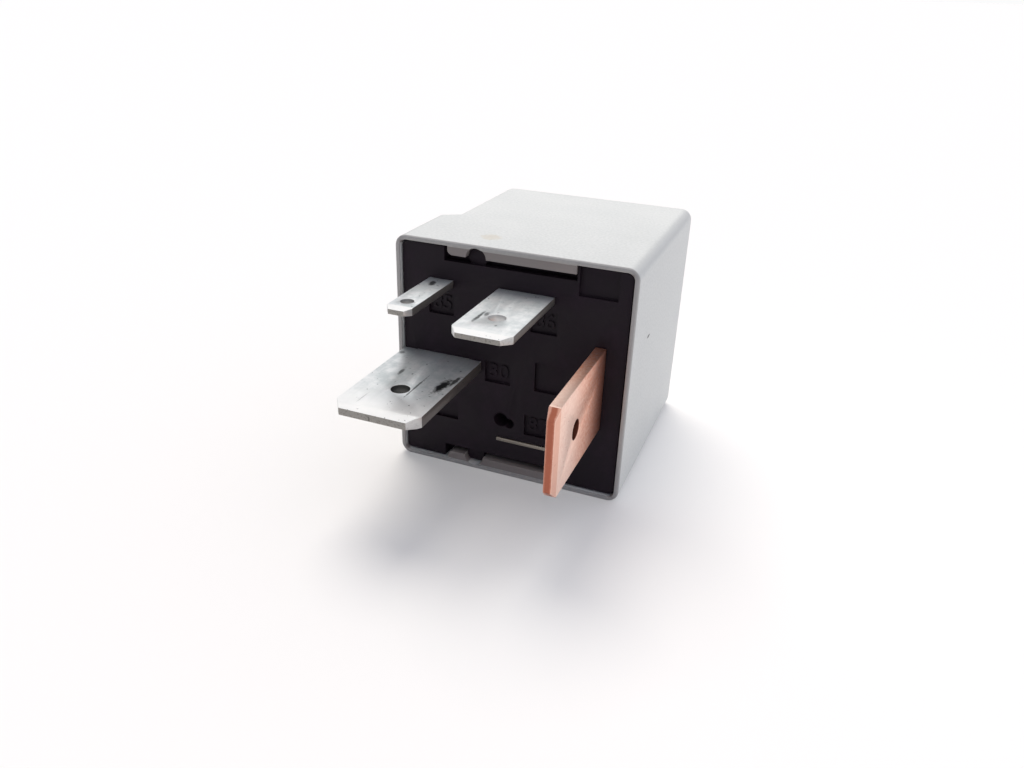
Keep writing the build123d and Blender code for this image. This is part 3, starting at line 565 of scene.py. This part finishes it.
route = bpy.data.curves.new("braidRoute", "CURVE")
route.dimensions = "3D"
line = route.splines.new("NURBS")
line.points.add(len(braid["route"]) - 1)
for point, place in zip(line.points, braid["route"]):
    point.co = (*(Vector(place) * mm), 1.0)
line.order_u = 3
line.use_endpoint_u = True
carrier = bpy.data.objects.new("braidRoute", route)
scene.collection.objects.link(carrier)
tree, sockets = strandTree()
strands = carrier.modifiers.new("strands", "NODES")
strands.node_group = tree
strands[sockets["Strands"]] = braid["strands"]
strands[sockets["Strand Radius"]] = braid["strandMm"] * mm
strands[sockets["Ring Radius"]] = braid["ringMm"] * mm
strands[sockets["Twist"]] = braid["turns"] * 2 * math.pi
strands[sockets["Finish"]] = looks["copper_braid"]
made = bpy.data.meshes.new_from_object(carrier.evaluated_get(bpy.context.evaluated_depsgraph_get()))
carrier.modifiers.remove(strands)
bpy.data.objects.remove(carrier)
braidPiece = newPiece("flexibleBraidStrands", made, "copper_braid")
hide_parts("flexible_braid")
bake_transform(braidPiece)
print("spring and braid done")

# Stage: a pale lit table, a white surround that dims to the horizon in reflections, and window light
# from behind
stage = {
    "floor": "DBDAD8", "glow": "FFFFFF", "glowStrength": 0.2, "floorMm": 40000.0, "ground": -13.5,
    "skyDim": "484E65", "skyBright": "ECEEFA", "skyStrength": 0.95, "skyFrom": (0.75, 0.4, 0.53),
    "surround": "FCFCFC", "high": "FFFFFF", "low": "E2E5EC",
}
floorMesh = bpy.data.meshes.new("floor")
reach = stage["floorMm"] / 2 * mm
low = stage["ground"] * mm
corners = [(-reach, -reach, low), (reach, -reach, low), (reach, reach, low), (-reach, reach, low)]
floorMesh.from_pydata(corners, [], [(0, 1, 2, 3)])
floor = bpy.data.objects.new("floor", floorMesh)
scene.collection.objects.link(floor)
paper, tree = newTree("litPaper")
rays = addNode(tree, "ShaderNodeLightPath").node.outputs
mirrored = addNode(tree, "ShaderNodeMath", greater, (rays["Is Glossy Ray"], rays["Is Transmission Ray"]))
seen = addNode(tree, "ShaderNodeMath", greater, (rays["Is Camera Ray"], mirrored))
strength = addNode(tree, "ShaderNodeMath", times, (seen, stage["glowStrength"]))
matte = addNode(tree, "ShaderNodeBsdfDiffuse", {}, {"Color": toLinear(stage["floor"])})
glow = addNode(tree, "ShaderNodeEmission", {}, {"Color": toLinear(stage["glow"]), "Strength": strength})
both = addNode(tree, "ShaderNodeAddShader", {}, (matte, glow))
addNode(tree, "ShaderNodeOutputMaterial", {}, {"Surface": both})
floorMesh.materials.append(paper)

world = bpy.data.worlds.new("studio")
scene.world = world
world.use_nodes = True
tree = world.node_tree
tree.nodes.clear()
rays = addNode(tree, "ShaderNodeLightPath").node.outputs
toward = addNode(tree, "ShaderNodeTexCoord", out="Generated")
height = addNode(tree, "ShaderNodeSeparateXYZ", {}, (toward,), 2)
overhead = addNode(tree, "ShaderNodeMapRange", soft, (height, 0.05, 0.75))
reflected = addNode(tree, "ShaderNodeMix", rgba, {
    0: overhead, 6: toLinear(stage["low"]), 7: toLinear(stage["high"])}, 2)
skySide = addNode(tree, "ShaderNodeVectorMath", {"operation": "DOT_PRODUCT"}, (
    toward, Vector(stage["skyFrom"]).normalized()), "Value")
lightSide = addNode(tree, "ShaderNodeMapRange", soft, (skySide, -0.5, 0.9))
sky = addNode(tree, "ShaderNodeMix", rgba, {
    0: lightSide, 6: toLinear(stage["skyDim"]), 7: toLinear(stage["skyBright"])}, 2)
ambient = addNode(tree, "ShaderNodeBackground", {}, (sky, stage["skyStrength"]))
mirrored = addNode(tree, "ShaderNodeBackground", {}, (reflected, 1.0))
surround = addNode(tree, "ShaderNodeBackground", {}, (toLinear(stage["surround"]), 1.0))
lit = addNode(tree, "ShaderNodeMixShader", {}, (rays["Is Glossy Ray"], ambient, mirrored))
seen = addNode(tree, "ShaderNodeMath", greater, (rays["Is Camera Ray"], rays["Is Transmission Ray"]))
pick = addNode(tree, "ShaderNodeMixShader", {}, (seen, lit, surround))
addNode(tree, "ShaderNodeOutputWorld", {}, {"Surface": pick})

window = {"from": (-0.32, 0.46, 1.0), "softDegrees": 38, "strength": 2.3, "tint": "FFF8EF"}
data = bpy.data.lights.new("window", "SUN")
data.energy = window["strength"]
data.angle = math.radians(window["softDegrees"])
data.color = toLinear(window["tint"])[:3]
light = bpy.data.objects.new("window", data)
scene.collection.objects.link(light)
light.rotation_euler = (-Vector(window["from"])).to_track_quat("-Z", "Y").to_euler()
light.visible_glossy = False

view = {
    "at": (29.237, -74.283, 37.803), "forward": (-0.32304519, 0.83659791, -0.44243163),
    "up": (-0.19120339, 0.40016109, 0.89627695), "lensMm": 28.48,
}
cameraData = bpy.data.cameras.new("camera")
cameraData.sensor_width = 36.0
cameraData.sensor_fit = "HORIZONTAL"
cameraData.lens = view["lensMm"]
cameraData.clip_start = 0.001
cameraData.clip_end = 100.0
camera = bpy.data.objects.new("camera", cameraData)
scene.collection.objects.link(camera)
back = -Vector(view["forward"]).normalized()
up = Vector(view["up"]).normalized()
right = up.cross(back)
turn = Matrix((right, up, back)).transposed().to_4x4()
camera.matrix_world = Matrix.Translation(Vector(view["at"]) * mm) @ turn
scene.camera = camera
scene.view_settings.view_transform = "Standard"
print("stage set")
